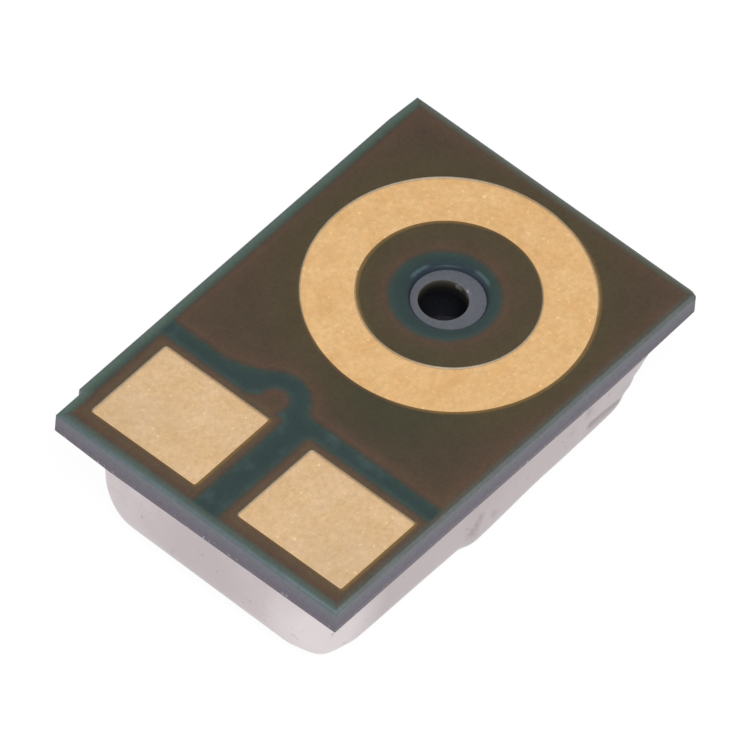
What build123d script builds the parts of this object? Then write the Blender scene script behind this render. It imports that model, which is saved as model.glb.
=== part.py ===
from build123d import *
import os
from math import copysign, cos, hypot, radians, sin, sqrt, tan

# Bottom-port silicon microphone for a phone board. It lies on its drawn metal lid with the solder
# pads of its small circuit board facing up. +X runs along the board towards the acoustic port,
# +Y is across the board, +Z points out of the pad side. All sizes are in millimetres.

# Whole package
board_length = 2.75
board_width = 1.85
overall_height = 0.80

# Sawn outline of the board
rounded_corner_radius = 0.030     # corner at +X, -Y
breakout_length = 0.20            # the +Y edge steps in next to the corner at -X
breakout_depth = 0.022
breakout_ramp = 0.012
trim_length = 0.20                # the +Y edge runs in a little at the +X end
trim_depth = 0.012

# Two corners of the board are broken off aslant on its lid side
round_break_along_x = 0.68        # corner at +X, -Y
round_break_along_y = 0.05
round_break_height = 0.032
step_break_along_x = 0.05         # corner at -X, +Y
step_break_along_y = 0.35
step_break_height = 0.020

# Layers of the board
mask_over_copper = 0.012
copper_thickness = 0.018
core_thickness = 0.100
plating_thickness = 0.005
mask_sag = 0.008                  # the mask lies this much lower where there is no copper under it
mask_shoulder = 0.010             # and slopes down this far outside the copper's edge
mask_slope = 45                   # degrees from upright, the slope of that shoulder
mask_wall_lean = 25               # degrees from upright: openings in the mask widen outwards
copper_wall_lean = 20             # degrees from upright: etched copper narrows outwards

# Acoustic port and its ring pad
port_from_end = 0.8515            # the ring's centre from the +X end
port_y = -0.0225                  # and from the board's centre line
port_radius = 0.1285
drill_shift_x = -0.032            # the drilled hole sits a little off the ring's centre
drill_shift_y = 0.0056
mask_port_radius = 0.190
port_copper_clearance = 0.272
clearance_shift_x = -0.0245       # and so does the disc without copper round it
clearance_shift_y = -0.0054
ring_outer_radius = 0.741
ring_inner_radius = 0.468

# Two rectangular pads beside the port, one on each side of its centre line
pad_length = 0.570
pad_width = 0.686
pad_corner_radius = 0.020
pad_from_end = 0.125              # from the -X end
pad_half_pitch = 0.478
pad_copper_outboard = 0.080       # copper shown past the pad, towards the board's end
pad_copper_inboard = 0.030        # towards the ring
pad_copper_side = 0.045           # along both other sides

# Outer copper
strip_width = 0.127               # bare strip between the pads' copper and the ground copper
border_end = 0.045                # bare border at the port end of the board
border_plus_y = 0.058
border_minus_y = 0.033
copper_corner = 0.012             # small cut across each corner of a copper shape
stub_reach = 0.076                # copper stub that carries the signal via, past the pad's copper
stub_offset_y = 0.189             # from the port's centre line
stub_radius = 0.076
stub_root_rise = 0.126            # the stub is wider where it meets the pad's copper
stub_tangent = 100                # degrees round from +X, where its sides meet its round end
stub_steps = 12                   # straight sides of that round end
stub_clearance = 0.104            # bare gap round the stub
shoulder_rise = 0.130             # slope where that gap runs back into the strip
shoulder_angle = 50               # degrees round from +X, where the slope leaves the gap

# Filled vias
via_radius = 0.050                # across the corners, because each via is a many-sided prism here
via_sides = 12
supply_via_from_pad_x = 0.165     # from the supply pad's centre
supply_via_from_pad_y = 0.198
ground_via_side_x = 0.300         # two vias beside the ring, in the long sides of the seal frame
ground_via_end_y = 0.550          # two vias in the end of the seal frame
inner_via_land = 0.080

# Inner copper
ground_land_margin = 0.030        # the ground land starts this far from the sensor
finger_gap = 0.095                # from the seal frame's copper to the bond fingers
finger_size = 0.120
finger_pitch = 0.250
finger_opening_margin = 0.010
trace_width = 0.050
ground_strap_width = 0.080

# Drawn lid
lid_inset_end = 0.100             # the board stands this far past the lid's rim at its ends
lid_inset_side = 0.105
lid_wall = 0.080
lid_corner_radius = 0.280
lid_edge_radius = 0.200
lid_draft = 0.040                 # how far the wall leans in between its rim and its closed end
lid_shift_x = -0.025
lid_shift_y = -0.020
lid_turn = -0.46                  # degrees
solder_film = 0.015               # solder between the lid's rim and the seal frame
seam_outer_foot = 0.014
seam_inner_foot = 0.032
seam_climb = 0.045
seam_bite = 0.010                 # how far the seam's section runs behind the lid's faces before it is cut
placement_allowance = 0.036       # the seal frame is this much wider on each side than the seam's foot
frame_mask_lap = 0.012            # the mask covers this much of the seal frame's copper

# Sensor die over the port
sensor_side = 0.950
sensor_height = 0.350
sensor_adhesive = 0.030
adhesive_squeeze = 0.015
adhesive_hole_radius = 0.310
cavity_radius = 0.280
cavity_mouth_radius = 0.300
diaphragm_radius = 0.320
diaphragm_thickness = 0.003
vent_radius = 0.010               # across the corners, like the backplate's holes
air_gap = 0.004
backplate_radius = 0.360
backplate_thickness = 0.004
spacer_bore_radius = 0.290
hole_pitch = 0.058
hole_radius = 0.018               # across the corners of each six-sided hole
hole_field_radius = 0.265
tab_width = 0.040
sensor_pad_size = 0.070
sensor_pad_inset = 0.080
sensor_pad_y = 0.330
sensor_pad_thickness = 0.003

# Amplifier die beside it
amplifier_length = 0.600
amplifier_width = 0.700
amplifier_height = 0.130
amplifier_adhesive = 0.020
finger_to_amplifier = 0.100
amplifier_pad_size = 0.060
amplifier_pad_inset = 0.060
amplifier_pad_pitch = 0.200
amplifier_pad_thickness = 0.003

# Bond wires
wire_radius = 0.0125
ball_radius = 0.028
ball_height = 0.012
board_loop_height = 0.055
sensor_loop_height = 0.060
wire_sides = 6                    # wires and their ends are prisms, because a phone board never shows them
ball_sides = 8
stitch_thickness = 0.008
loop_shoulder = 0.35              # share of a wire's run over which it stays level

# Drop of black resin over the amplifier
drop_past_fingers = 0.025
drop_past_amplifier = 0.080
drop_beside_amplifier = 0.160
drop_over_loops = 0.045
drop_corner_radius = 0.250
drop_lean = 0.110                 # how far the drop's side runs in between its foot and its top

# Levels, from the pads down to the lid's closed end
mask_face = overall_height
copper_face = mask_face - mask_over_copper
core_face = copper_face - copper_thickness
core_back = core_face - core_thickness
inner_copper_face = core_back - copper_thickness
inner_mask_face = inner_copper_face - mask_over_copper
inner_plating_face = inner_copper_face - plating_thickness
rim_face = inner_plating_face - solder_film
sensor_back = inner_mask_face - sensor_adhesive
sensor_face = sensor_back - sensor_height
amplifier_back = inner_mask_face - amplifier_adhesive
amplifier_face = amplifier_back - amplifier_height

# Lid and the seal frame that its rim is soldered to, both centred on the board
lid_length = board_length - 2 * lid_inset_end
lid_width = board_width - 2 * lid_inset_side
frame_growth = seam_outer_foot + placement_allowance
frame_shrink = lid_wall + seam_inner_foot + placement_allowance
frame_middle_x = (lid_length - lid_wall) / 2
frame_middle_y = (lid_width - lid_wall) / 2

# Places that several pieces share
port_x = board_length / 2 - port_from_end
pad_centre_x = -board_length / 2 + pad_from_end + pad_length / 2
sensor_left = port_x - sensor_side / 2
backplate_back = sensor_face + backplate_thickness
diaphragm_face = backplate_back + air_gap
silicon_face = diaphragm_face + diaphragm_thickness
stepped_edge_y = board_width / 2 - breakout_depth
pad_copper_left = pad_centre_x - pad_length / 2 - pad_copper_outboard
pad_copper_right = pad_centre_x + pad_length / 2 + pad_copper_inboard
ground_left = pad_copper_right + strip_width
stub_x = pad_copper_right + stub_reach
stub_y = port_y + stub_offset_y
supply_via_x = pad_centre_x + supply_via_from_pad_x
supply_via_y = port_y - pad_half_pitch + supply_via_from_pad_y
finger_x = -lid_length / 2 + frame_shrink + frame_mask_lap + finger_gap + finger_size / 2
amplifier_left = finger_x + finger_size / 2 + finger_to_amplifier
amplifier_centre_x = amplifier_left + amplifier_length / 2
cut_over = 0.05                   # cutting tools reach this far past what they cut


def slab(outline, low, high):
    """A flat outline as a plate between two heights."""
    return extrude(Pos(0, 0, low) * outline, amount=high - low)


def leaning(outline, base, face, lean):
    """An outline between two heights. Its walls lean outwards by some degrees, or inwards if negative."""
    growth = abs(face - base) * tan(radians(lean))
    flat = outline.face()
    bodies = []
    for wire, change in [(flat.outer_wire(), growth)] + [(hole, -growth) for hole in flat.inner_wires()]:
        near = make_face(wire)
        far = offset(near, amount=change, kind=Kind.INTERSECTION)
        bodies.append(loft([Pos(0, 0, base) * near, Pos(0, 0, face) * far]))
    return bodies[0] - bodies[1:]


def etched(outline, base, face):
    """A copper shape from the core out to its face, a little narrower there."""
    return leaning(outline, base, face, -copper_wall_lean)


def opening(outline, base, face):
    """The room of an opening in the mask from its foot to a height, a little wider there."""
    return leaning(outline, base, face, mask_wall_lean)


def rect_between(x0, x1, y0, y1):
    """A rectangle from its four sides."""
    return Pos((x0 + x1) / 2, (y0 + y1) / 2) * Rectangle(x1 - x0, y1 - y0)


def copper_rect(x0, x1, y0, y1):
    """A rectangle of copper with its corners cut."""
    return chamfer(rect_between(x0, x1, y0, y1).vertices(), copper_corner)


def rim_outline(growth):
    """The lid's rim outline, grown or shrunk, centred on the board."""
    return RectangleRounded(
        lid_length + 2 * growth, lid_width + 2 * growth, lid_corner_radius + growth
    )


def board_outline():
    """The sawn outline, with its one round corner and the break-out at the corner across from it."""
    end_x = board_length / 2
    edge_y = board_width / 2
    corners = [
        (-end_x, -edge_y),
        (end_x, -edge_y),
        (end_x, edge_y - trim_depth),
        (end_x - trim_length, edge_y),
        (-end_x + breakout_length, edge_y),
        (-end_x + breakout_length - breakout_ramp, stepped_edge_y),
        (-end_x, stepped_edge_y),
    ]
    face = make_face(Polyline(*corners, close=True))
    round_corner = face.vertices().sort_by_distance(Vector(end_x, -edge_y, 0))[0]
    return fillet(round_corner, rounded_corner_radius)


def without_breaks(plate):
    """A layer of the board without what broke off the lid side of two of its corners."""
    for x, y, along_x, along_y, height in (
        (
            board_length / 2,
            -board_width / 2,
            round_break_along_x,
            round_break_along_y,
            round_break_height,
        ),
        (
            -board_length / 2,
            stepped_edge_y,
            step_break_along_x,
            step_break_along_y,
            step_break_height,
        ),
    ):
        lean = (-copysign(1 / along_x, x), -copysign(1 / along_y, y), 1 / height)
        break_plane = Plane(origin=(x, y, inner_mask_face + height), z_dir=lean)
        plate = split(plate, bisect_by=break_plane, keep=Keep.TOP)
    return plate


def pad_outline(side):
    """One gold pad, on the +Y (1) or -Y (-1) side of the port's centre line."""
    centre = Pos(pad_centre_x, port_y + side * pad_half_pitch)
    return centre * RectangleRounded(pad_length, pad_width, pad_corner_radius)


def supply_copper_outline():
    """The copper under the -Y pad and the mask round it."""
    centre_y = port_y - pad_half_pitch
    half = pad_width / 2 + pad_copper_side
    return copper_rect(pad_copper_left, pad_copper_right, centre_y - half, centre_y + half)


def signal_copper_outline():
    """The pad copper on the +Y side, with a tapering stub that carries the via."""
    low = port_y + pad_half_pitch - pad_width / 2 - pad_copper_side
    high = low + pad_width + 2 * pad_copper_side
    left, right, cut = pad_copper_left, pad_copper_right, copper_corner
    angles = [radians(stub_tangent * (2 * step / stub_steps - 1)) for step in range(stub_steps + 1)]
    stub_end = [(stub_x + stub_radius * cos(a), stub_y + stub_radius * sin(a)) for a in angles]
    corners = [
        (left + cut, low),
        (right - cut, low),
        *stub_end,
        (right, stub_y + stub_root_rise),
        (right, high - cut),
        (right - cut, high),
        (left + cut, high),
        (left, high - cut),
        (left, low + cut),
    ]
    return make_face(Polyline(*corners, close=True))


def ground_outline():
    """The outer ground copper: it leaves a gap round the stub and round the port."""
    low_y = -board_width / 2 + border_minus_y
    high_y = board_width / 2 - border_plus_y
    gap = stub_radius + stub_clearance
    plate = copper_rect(ground_left, board_length / 2 - border_end, low_y, high_y)
    bay = Pos(stub_x, stub_y) * Circle(gap)
    lean = radians(shoulder_angle)
    shoulder = make_face(
        Polyline(
            (ground_left - cut_over, stub_y),
            (stub_x + gap * cos(lean), stub_y + gap * sin(lean)),
            (ground_left, stub_y + gap + shoulder_rise),
            (ground_left - cut_over, stub_y + gap + shoulder_rise),
            close=True,
        )
    )
    port = Pos(port_x + clearance_shift_x, port_y + clearance_shift_y) * Circle(port_copper_clearance)
    return plate - bay - shoulder - port


def ring_outline():
    ring = Circle(ring_outer_radius) - Circle(ring_inner_radius)
    return Pos(port_x, port_y) * ring


def port_opening_outline():
    """The opening that the mask leaves round the drilled port, on both sides of the board."""
    return Pos(port_x, port_y) * Circle(mask_port_radius)


def outer_copper_outlines():
    return {
        "outer_ground_copper": ground_outline(),
        "signal_pad_copper": signal_copper_outline(),
        "supply_pad_copper": supply_copper_outline(),
    }


def pad_outlines():
    return {
        "ring_pad_plating": ring_outline(),
        "signal_pad_plating": pad_outline(1),
        "supply_pad_plating": pad_outline(-1),
    }


def via_places():
    """Centres of the filled vias: signal, supply, then the four ground vias under the lid's rim."""
    return [
        (stub_x, stub_y),
        (supply_via_x, supply_via_y),
        (ground_via_side_x, frame_middle_y),
        (ground_via_side_x, -frame_middle_y),
        (frame_middle_x, ground_via_end_y),
        (frame_middle_x, -ground_via_end_y),
    ]


def filled_vias():
    via = RegularPolygon(via_radius, via_sides)
    return [slab(Pos(x, y) * via, core_back, core_face) for x, y in via_places()]


def core_laminate():
    """Glass and resin core, drilled for the port and the vias."""
    plate = without_breaks(slab(board_outline(), core_back, core_face))
    port = Pos(port_x + drill_shift_x, port_y + drill_shift_y) * Circle(port_radius)
    return plate - slab(port, core_back - cut_over, core_face + cut_over) - filled_vias()


def mask_rise(outline):
    """The mask over a copper outline, with a sloping shoulder down to the bare core's mask."""
    foot = offset(outline, amount=mask_shoulder, kind=Kind.INTERSECTION)
    low = mask_face - mask_sag
    return slab(foot, core_face, low) + leaning(foot, low, mask_face, -mask_slope)


def outer_solder_mask():
    """One film over copper and core, standing higher over the copper, open at the pads and port."""
    within_board = slab(board_outline(), core_face, mask_face)
    film = slab(board_outline(), core_face, mask_face - mask_sag)
    for outline in outer_copper_outlines().values():
        film += mask_rise(outline) & within_board
    film -= [etched(outline, core_face, copper_face) for outline in outer_copper_outlines().values()]
    film -= [opening(pad, copper_face, mask_face + cut_over) for pad in pad_outlines().values()]
    return film - opening(port_opening_outline(), core_face, mask_face + cut_over)


def finger_outline(row, margin=0.0):
    """One bond finger: row 1 is the signal, 0 the ground and -1 the supply."""
    side = finger_size - 2 * margin
    return Pos(finger_x, port_y + row * finger_pitch) * Rectangle(side, side)


def inner_ground_outline():
    """Seal frame, the land under the sensor die and the strap to the ground finger."""
    frame = rim_outline(frame_growth + frame_mask_lap) - rim_outline(-frame_shrink - frame_mask_lap)
    land = rect_between(
        sensor_left - ground_land_margin, frame_middle_x, -frame_middle_y, frame_middle_y
    )
    strap = rect_between(
        -frame_middle_x, finger_x, port_y - ground_strap_width / 2, port_y + ground_strap_width / 2
    )
    port = Pos(port_x, port_y) * Circle(port_copper_clearance)
    return frame + land + strap + finger_outline(0) - port


def trace(via_x, via_y, row):
    """Via land, track and bond finger of one signal on the lid side of the board."""
    finger_y = port_y + row * finger_pitch
    track = offset(Line((via_x, via_y), (finger_x, finger_y)), amount=trace_width / 2, side=Side.BOTH)
    land = Pos(via_x, via_y) * RegularPolygon(inner_via_land, via_sides)
    shapes = [land, make_face(track), finger_outline(row)]
    first, *others = [etched(shape, core_back, inner_copper_face) for shape in shapes]
    return first + others


def inner_coppers():
    return {
        "inner_ground_copper": etched(inner_ground_outline(), core_back, inner_copper_face),
        "inner_signal_trace": trace(stub_x, stub_y, 1),
        "inner_supply_trace": trace(supply_via_x, supply_via_y, -1),
    }


def seal_frame_outline():
    """The ring of the seal frame that the mask leaves bare."""
    return rim_outline(frame_growth) - rim_outline(-frame_shrink)


def bare_fingers():
    return [finger_outline(row, finger_opening_margin) for row in (1, 0, -1)]


def inner_solder_mask():
    """The film on the lid side, open at the seal frame, the bond fingers and the port."""
    film = without_breaks(slab(board_outline(), inner_mask_face, core_back))
    film -= list(inner_coppers().values())
    past_face = inner_mask_face - cut_over
    film -= [opening(bare, inner_copper_face, past_face) for bare in [seal_frame_outline(), *bare_fingers()]]
    return film - opening(port_opening_outline(), core_back, past_face)


def lid_place():
    """Where the lid sits on the board: a little off centre and a little turned."""
    return Pos(lid_shift_x, lid_shift_y) * Rot(0, 0, lid_turn)


def drawn_body(growth, edge_radius, closed_face):
    """A drawn box, open side at the rim, with leaning walls and a rolled edge at its closed end."""
    lean = lid_draft / rim_face * (rim_face - closed_face)
    floor = Pos(0, 0, closed_face) * rim_outline(growth - lean)
    body = loft([floor, Pos(0, 0, rim_face) * rim_outline(growth)])
    return fillet(body.faces().sort_by(Axis.Z)[0].edges(), edge_radius)


def metal_lid():
    """Sheet drawn to an even wall, inside like outside."""
    outer = drawn_body(0, lid_edge_radius, 0)
    inner = drawn_body(-lid_wall, lid_edge_radius - lid_wall, lid_wall)
    return lid_place() * (outer - inner)


def lid_solder_seam():
    """Solder film under the rim, with a fillet up the lid's wall outside and inside."""
    low = rim_face - seam_climb
    lean = lid_draft / rim_face * seam_climb
    sides = []
    for climb_growth, foot_growth in (
        (-seam_bite - lean, seam_outer_foot),
        (-lid_wall + seam_bite - lean, -lid_wall - seam_inner_foot),
    ):
        climb = Pos(0, 0, low) * rim_outline(climb_growth)
        foot = Pos(0, 0, inner_plating_face) * rim_outline(foot_growth)
        sides.append(loft([climb, foot]))
    outside, inside = sides
    return lid_place() * (outside - inside) - metal_lid()


def sensor_frame():
    """Silicon body of the sensor: a square die with a cavity etched through from the port side."""
    block = slab(Pos(port_x, port_y) * Rectangle(sensor_side, sensor_side), silicon_face, sensor_back)
    throat = Pos(port_x, port_y, silicon_face) * Circle(cavity_radius)
    mouth = Pos(port_x, port_y, sensor_back) * Circle(cavity_mouth_radius)
    return block - loft([throat, mouth])


def sensor_adhesive_bead():
    """Soft adhesive under the sensor, squeezed out a little and open over the port."""
    wide = sensor_side + 2 * adhesive_squeeze
    foot = Pos(port_x, port_y, inner_mask_face) * Rectangle(wide, wide)
    top = Pos(port_x, port_y, sensor_back) * Rectangle(sensor_side, sensor_side)
    hole = Pos(port_x, port_y) * Circle(adhesive_hole_radius)
    return loft([top, foot]) - slab(hole, sensor_back - cut_over, inner_mask_face + cut_over)


def sensor_pad_places():
    x = sensor_left + sensor_pad_inset
    return [(x, port_y + sensor_pad_y), (x, port_y - sensor_pad_y)]


def disc_with_tab(radius, pad):
    """A round film with a tab that runs out to a bond pad at the die's corner."""
    x, y = pad
    track = offset(Line((port_x, port_y), (x, y)), amount=tab_width / 2, side=Side.BOTH)
    land = Pos(x, y) * Rectangle(sensor_pad_size, sensor_pad_size)
    return Pos(port_x, port_y) * Circle(radius) + make_face(track) + land


def diaphragm_outline():
    return disc_with_tab(diaphragm_radius, sensor_pad_places()[0])


def diaphragm():
    """Thin film across the cavity, with a vent hole that lets slow pressure changes pass."""
    vent = Pos(port_x, port_y) * RegularPolygon(vent_radius, 6)
    return slab(diaphragm_outline() - vent, diaphragm_face, silicon_face)


def spacer_layer():
    """Oxide that holds the backplate off the diaphragm, open over the moving film."""
    sheet = Pos(port_x, port_y) * Rectangle(sensor_side, sensor_side)
    sheet -= Pos(port_x, port_y) * Circle(spacer_bore_radius)
    film = slab(sheet, backplate_back, silicon_face)
    film -= slab(diaphragm_outline(), diaphragm_face, silicon_face + cut_over)
    x, y = sensor_pad_places()[0]
    well = Pos(x, y) * Rectangle(sensor_pad_size, sensor_pad_size)
    return film - slab(well, backplate_back - cut_over, silicon_face)


def hole_places():
    """Centres of the backplate's holes: rows a half pitch apart, inside a round field."""
    row_step = hole_pitch * sqrt(3) / 2
    reach = int(hole_field_radius / row_step) + 1
    places = []
    for row in range(-reach, reach + 1):
        y = row * row_step
        for column in range(-reach - 1, reach + 2):
            x = (column + (row % 2) / 2) * hole_pitch
            if hypot(x, y) <= hole_field_radius - hole_radius:
                places.append((port_x + x, port_y + y))
    return places


def perforated_backplate():
    """Stiff plate over the diaphragm, full of small six-sided holes that let the sound through."""
    sheet = disc_with_tab(backplate_radius, sensor_pad_places()[1])
    holes = [Pos(x, y) * RegularPolygon(hole_radius, 6) for x, y in hole_places()]
    return slab(sheet - holes, sensor_face, backplate_back)


def sensor_pads():
    """Two bond pads: one reaches down its well to the diaphragm, one lies on the backplate's tab."""
    size = sensor_pad_size
    (x0, y0), (x1, y1) = sensor_pad_places()
    face = sensor_face - sensor_pad_thickness
    return [
        slab(Pos(x0, y0) * Rectangle(size, size), face, diaphragm_face),
        slab(Pos(x1, y1) * Rectangle(size, size), face, sensor_face),
    ]


def amplifier_outline():
    return Pos(amplifier_centre_x, port_y) * Rectangle(amplifier_length, amplifier_width)


def amplifier_pad_places():
    """Three pads towards the bond fingers, then two towards the sensor."""
    board_side = amplifier_left + amplifier_pad_inset
    far_side = amplifier_left + amplifier_length - amplifier_pad_inset
    board_row = [(board_side, port_y + row * amplifier_pad_pitch) for row in (1, 0, -1)]
    sensor_row = [(far_side, port_y + row * amplifier_pad_pitch) for row in (1, -1)]
    return board_row, sensor_row


def amplifier_pads():
    board_row, sensor_row = amplifier_pad_places()
    pad = Rectangle(amplifier_pad_size, amplifier_pad_size)
    low = amplifier_face - amplifier_pad_thickness
    return [slab(Pos(x, y) * pad, low, amplifier_face) for x, y in board_row + sensor_row]


def bond_wire(start, end, loop_level):
    """A gold wire: a ball on the first pad, a loop on the lid side, a flat stitch on the second pad."""
    (x0, y0, z0), (x1, y1, z1) = start, end
    ball_top = z0 - ball_height
    stitch_top = z1 - stitch_thickness
    x2 = x0 + (x1 - x0) * loop_shoulder
    y2 = y0 + (y1 - y0) * loop_shoulder
    path = Polyline((x0, y0, ball_top), (x0, y0, loop_level), (x2, y2, loop_level), (x1, y1, stitch_top))
    section = Plane(origin=path @ 0, z_dir=path % 0) * RegularPolygon(wire_radius, wire_sides)
    wire = sweep(section, path=path, transition=Transition.RIGHT)
    ball = slab(Pos(x0, y0) * RegularPolygon(ball_radius, ball_sides), ball_top, z0)
    stitch = slab(Pos(x1, y1) * RegularPolygon(ball_radius, ball_sides), stitch_top - wire_radius, z1)
    return wire + ball + stitch


def board_wires():
    """Three wires from the amplifier to the bond fingers."""
    board_row, _ = amplifier_pad_places()
    start_z = amplifier_face - amplifier_pad_thickness
    return [
        bond_wire(
            (x, y, start_z),
            (finger_x, port_y + row * finger_pitch, inner_plating_face),
            start_z - board_loop_height,
        )
        for (x, y), row in zip(board_row, (1, 0, -1))
    ]


def sensor_wires():
    """Two wires from the sensor down to the amplifier."""
    _, sensor_row = amplifier_pad_places()
    start_z = sensor_face - sensor_pad_thickness
    end_z = amplifier_face - amplifier_pad_thickness
    return [
        bond_wire((x0, y0, start_z), (x1, y1, end_z), start_z - sensor_loop_height)
        for (x0, y0), (x1, y1) in zip(sensor_pad_places(), sensor_row)
    ]


def amplifier_block():
    return slab(amplifier_outline(), amplifier_face, amplifier_back)


def amplifier_adhesive_film():
    return slab(amplifier_outline(), amplifier_back, inner_mask_face)


def resin_drop():
    """Black resin over the amplifier, its fingers and its wires, cut to what it holds."""
    x0 = finger_x - finger_size / 2 - drop_past_fingers
    x1 = amplifier_left + amplifier_length + drop_past_amplifier
    half_width = amplifier_width / 2 + drop_beside_amplifier
    low = amplifier_face - amplifier_pad_thickness - board_loop_height - drop_over_loops
    levels = []
    for height, lean in ((low, drop_lean), (inner_mask_face, 0)):
        outline = RectangleRounded(
            x1 - x0 - 2 * lean, 2 * (half_width - lean), drop_corner_radius - lean
        )
        levels.append(Pos((x0 + x1) / 2, port_y, height) * outline)
    drop = loft(levels)
    held = [slab(amplifier_outline(), amplifier_face, inner_mask_face), *amplifier_pads()]
    return drop - held - board_wires() - sensor_wires()


def build():
    """Every separate piece, by the name of its file."""
    pieces = {
        "core_laminate": core_laminate(),
        "outer_solder_mask": outer_solder_mask(),
        "filled_vias": filled_vias(),
        "inner_solder_mask": inner_solder_mask(),
        "seal_frame_plating": opening(seal_frame_outline(), inner_copper_face, inner_plating_face),
        "bond_finger_plating": [
            opening(bare, inner_copper_face, inner_plating_face) for bare in bare_fingers()
        ],
        "lid_solder_seam": lid_solder_seam(),
        "metal_lid": metal_lid(),
        "sensor_adhesive": sensor_adhesive_bead(),
        "sensor_silicon_frame": sensor_frame(),
        "diaphragm": diaphragm(),
        "oxide_spacer": spacer_layer(),
        "perforated_backplate": perforated_backplate(),
        "sensor_bond_pads": sensor_pads(),
        "amplifier_adhesive": amplifier_adhesive_film(),
        "amplifier_die": amplifier_block(),
        "amplifier_bond_pads": amplifier_pads(),
        "sensor_bond_wires": sensor_wires(),
        "board_bond_wires": board_wires(),
        "amplifier_resin_drop": resin_drop(),
        **inner_coppers(),
    }
    for name, outline in outer_copper_outlines().items():
        pieces[name] = etched(outline, core_face, copper_face)
    for name, outline in pad_outlines().items():
        pieces[name] = opening(outline, copper_face, copper_face + plating_thickness)
    return pieces


def as_shape(piece):
    """A group of separate solids becomes one compound; a single solid stays as it is."""
    if isinstance(piece, list):
        return Compound(children=[solid for part in piece for solid in part.solids()])
    return piece


os.makedirs("parts", exist_ok=True)
for node, piece in build().items():
    export_step(as_shape(piece), f"parts/{node}.step")
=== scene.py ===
from math import cos, pi, radians, sin, tan

import bmesh
import bpy
import numpy as np
from mathutils import Matrix, Vector, noise


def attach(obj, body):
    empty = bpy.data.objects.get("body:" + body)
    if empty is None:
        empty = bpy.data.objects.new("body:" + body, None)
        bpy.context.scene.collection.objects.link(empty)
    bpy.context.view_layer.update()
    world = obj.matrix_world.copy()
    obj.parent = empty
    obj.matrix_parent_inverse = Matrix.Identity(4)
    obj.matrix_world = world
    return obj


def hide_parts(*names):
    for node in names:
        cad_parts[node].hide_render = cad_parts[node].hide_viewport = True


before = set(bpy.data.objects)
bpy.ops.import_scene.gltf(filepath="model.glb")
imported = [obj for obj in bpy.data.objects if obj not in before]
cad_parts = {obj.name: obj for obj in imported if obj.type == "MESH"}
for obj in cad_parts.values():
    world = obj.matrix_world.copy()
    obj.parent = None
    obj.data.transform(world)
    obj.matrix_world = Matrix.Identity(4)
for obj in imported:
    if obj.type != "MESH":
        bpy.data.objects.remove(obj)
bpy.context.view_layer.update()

# Bottom-port silicon microphone, lying on its drawn lid with the solder pads facing up.
# Pieces are modelled with one unit to the millimetre, and settle() brings them to metres.
MM = 0.001

# Board and its layers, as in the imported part
board_length = 2.75
board_width = 1.85
rounded_corner = 0.045
breakout_length = 0.20
breakout_depth = 0.022
breakout_ramp = 0.012
trim_length = 0.20
trim_depth = 0.012
mask_face = 0.800
mask_sag = 0.008
copper_face = 0.788
plating_face = 0.793
core_face = 0.770
core_back = 0.670
seal_plating_face = 0.647
rim_face = 0.632
mask_wall_lean = 25

# Acoustic port and ring pad
port_x = 0.5235
port_y = -0.0225
drill_x = port_x - 0.032
drill_y = port_y + 0.0056
port_radius = 0.1285
mask_port_x = port_x - 0.0137
mask_port_y = port_y - 0.0107
mask_port_radius = 0.190
clearance_x = port_x - 0.0235
clearance_y = port_y + 0.0021
port_copper_clearance = 0.2805
ring_x = port_x - 0.0015
ring_y = port_y - 0.0045
ring_outer_radius = 0.735
ring_inner_radius = 0.473

# Pads and the copper under the mask
pad_length = 0.5515
pad_width = 0.6645
pad_corner = 0.013
pad_centre_x = -0.9675
pad_middles_y = {1: 0.4445, -1: -0.5070}
pad_copper_left = -1.339
pad_copper_right = -0.636
pad_copper_spans = {1: (0.045, 0.855), -1: (-0.897, -0.108)}
ground_left = -0.540
ground_right = 1.340
ground_low_y = -0.900
ground_high_y = 0.867
stub_x = -0.574
stub_y = 0.1665
stub_radius = 0.076
stub_root_rise = 0.126
stub_tangent = 100
stub_clearance = 0.104
shoulder_rise = 0.130
shoulder_angle = 50

# Drawn lid
lid_length = 2.55
lid_width = 1.64
lid_wall = 0.080
lid_corner = 0.280
lid_edge = 0.210
lid_draft = 0.040
lid_shift_x = -0.025
lid_shift_y = -0.020
lid_turn = -0.46

# Wear of the lid's corner at +X, -Y: how far out it stands at each depth below the rim
flare_depths = [0.0, 0.05, 0.10, 0.14, 0.18, 0.22, 0.26, 0.31, 0.36, 0.42, 0.50, 0.60]
flare_moves = [0.004, 0.032, 0.054, 0.062, 0.045, 0.043, 0.032, 0.017, 0.020, -0.010, -0.010, -0.022]
flare_way = (0.65, -0.76)

# How finely round things are divided
ring_sides = 192
port_sides = 128
corner_steps = 10
lid_corner_steps = 16
lid_edge_steps = 12

# How near to a place a point has to lie to be picked by it
pick_within = 0.001


def select_only(kind, test):
    """In edit mode, selects the vertices, edges or faces that pass a test, and nothing else."""
    mode = {"verts": "VERT", "edges": "EDGE", "faces": "FACE"}[kind]
    bpy.ops.mesh.select_mode(type=mode)
    bpy.ops.mesh.select_all(action="DESELECT")
    mesh = bpy.context.object.data
    edited = bmesh.from_edit_mesh(mesh)
    for element in getattr(edited, kind):
        element.select_set(bool(test(element)))
    edited.select_flush_mode()
    bmesh.update_edit_mesh(mesh)


def choose(piece):
    """Selects a piece and nothing else."""
    bpy.ops.object.select_all(action="DESELECT")
    bpy.context.view_layer.objects.active = piece
    piece.select_set(True)


def apply_place(piece):
    """Writes a piece's place, turn and size into its mesh."""
    choose(piece)
    bpy.ops.object.transform_apply(location=True, rotation=True, scale=True)


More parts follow.
